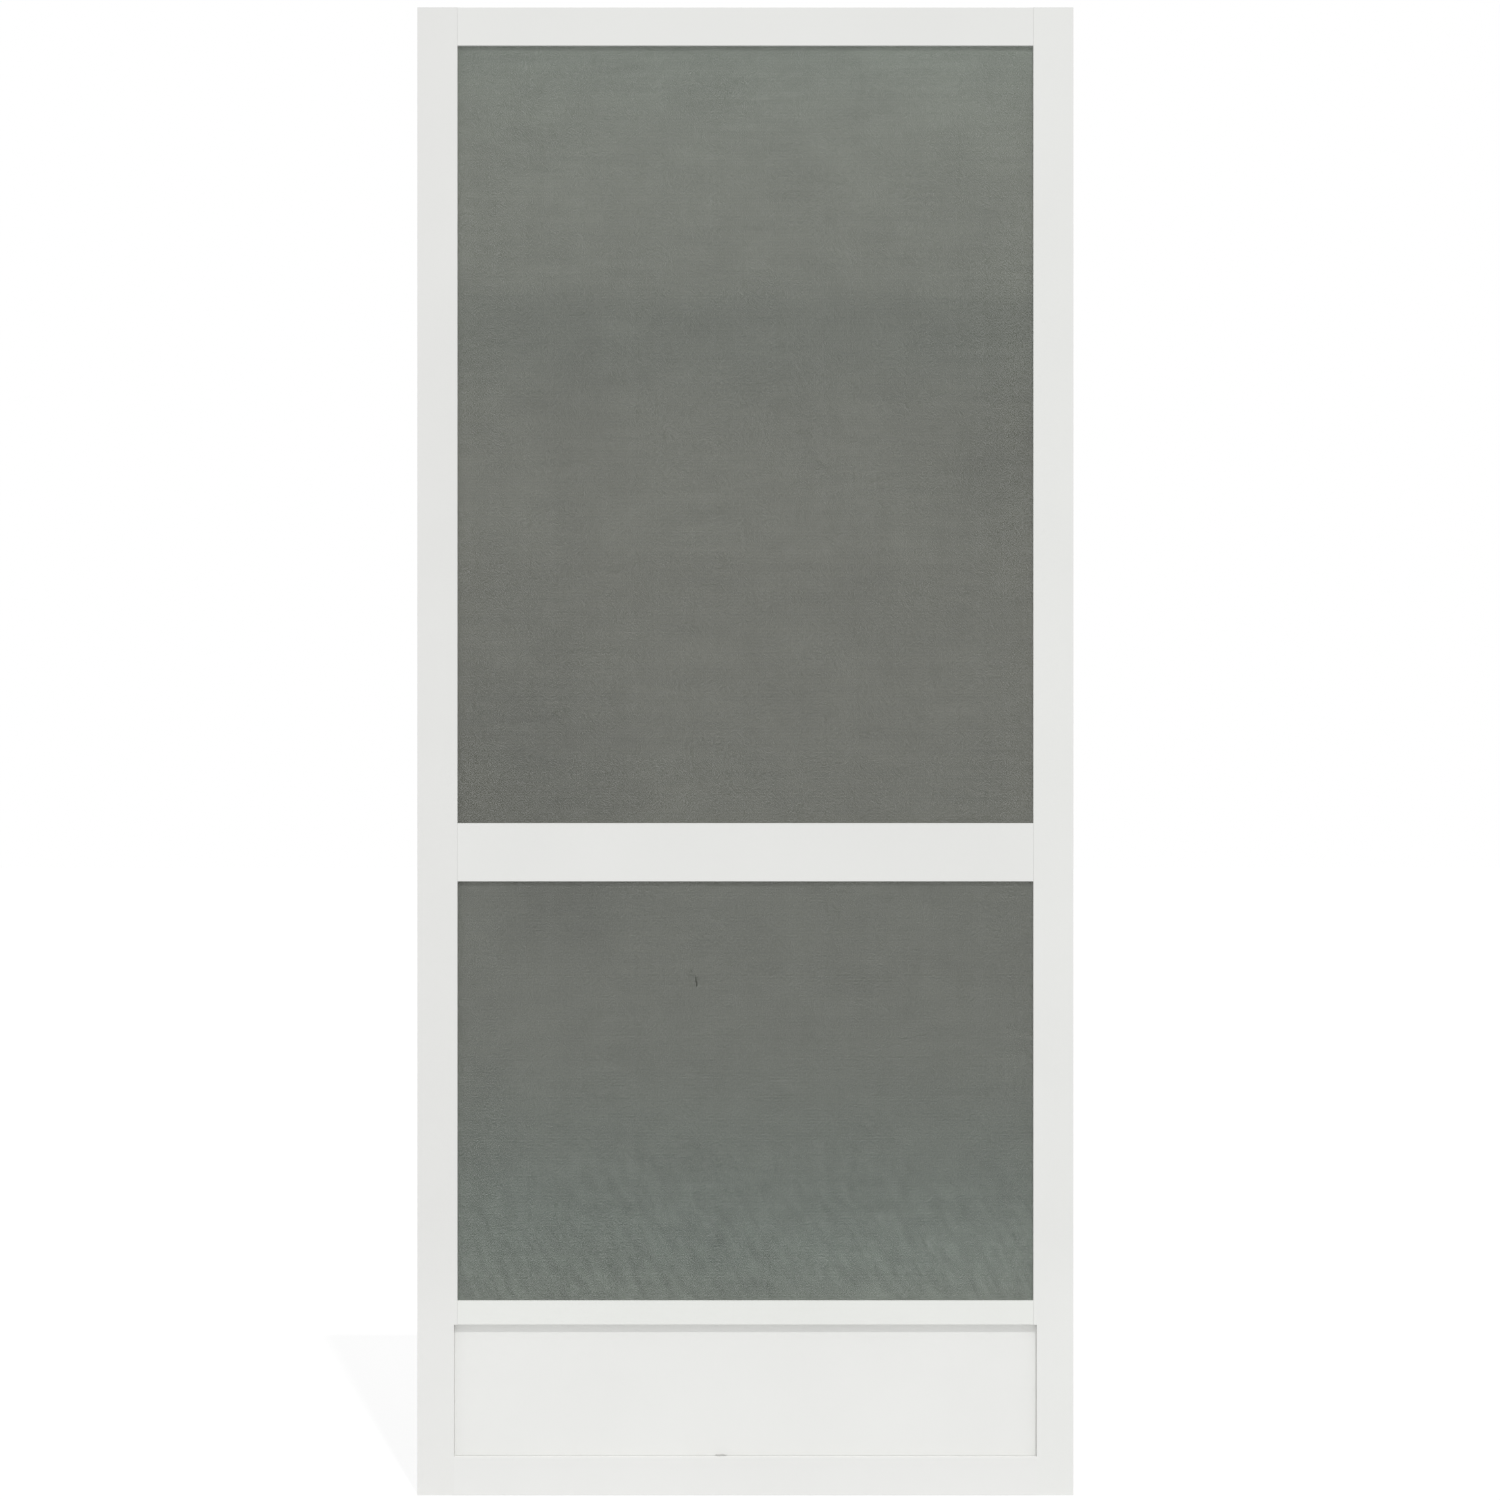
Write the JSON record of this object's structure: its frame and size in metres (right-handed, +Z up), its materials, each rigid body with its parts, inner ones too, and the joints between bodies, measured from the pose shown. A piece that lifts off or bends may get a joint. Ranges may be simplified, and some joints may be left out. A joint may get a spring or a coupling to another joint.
{
  "type": "aluminium screen door",
  "caption": "Aluminium screen door leaf: hollow coated frame with rails, stretched mesh screens held by splines, and a recessed kick panel.",
  "frame": {"origin": "foot of the hinge edge: on the outer edge face of the left stile, at the leaf's lower edge and the middle of its thickness", "axes": "+Z up along the leaf, +X across it from the hinge edge to the latch edge, +Y through it towards the indoor face, so the outdoor face looks along -Y"},
  "size_m": [0.896, 0.0254, 2.032],
  "materials": {
    "coated_frame": "satin",
    "coated_sheet": "satin",
    "screen_cloth": "matte",
    "spline_vinyl": "matte"
  },
  "bodies": {
    "root": {"left_stile": "coated_frame", "right_stile": "coated_frame", "top_rail": "coated_frame", "mid_rail": "coated_frame", "kick_rail": "coated_frame", "bottom_rail": "coated_frame", "kick_panel": "coated_sheet", "upper_screen": "screen_cloth", "lower_screen": "screen_cloth", "upper_spline_top": "spline_vinyl", "upper_spline_bottom": "spline_vinyl", "upper_spline_left": "spline_vinyl", "upper_spline_right": "spline_vinyl", "lower_spline_top": "spline_vinyl", "lower_spline_bottom": "spline_vinyl", "lower_spline_left": "spline_vinyl", "lower_spline_right": "spline_vinyl"}
  },
  "joints": []
}
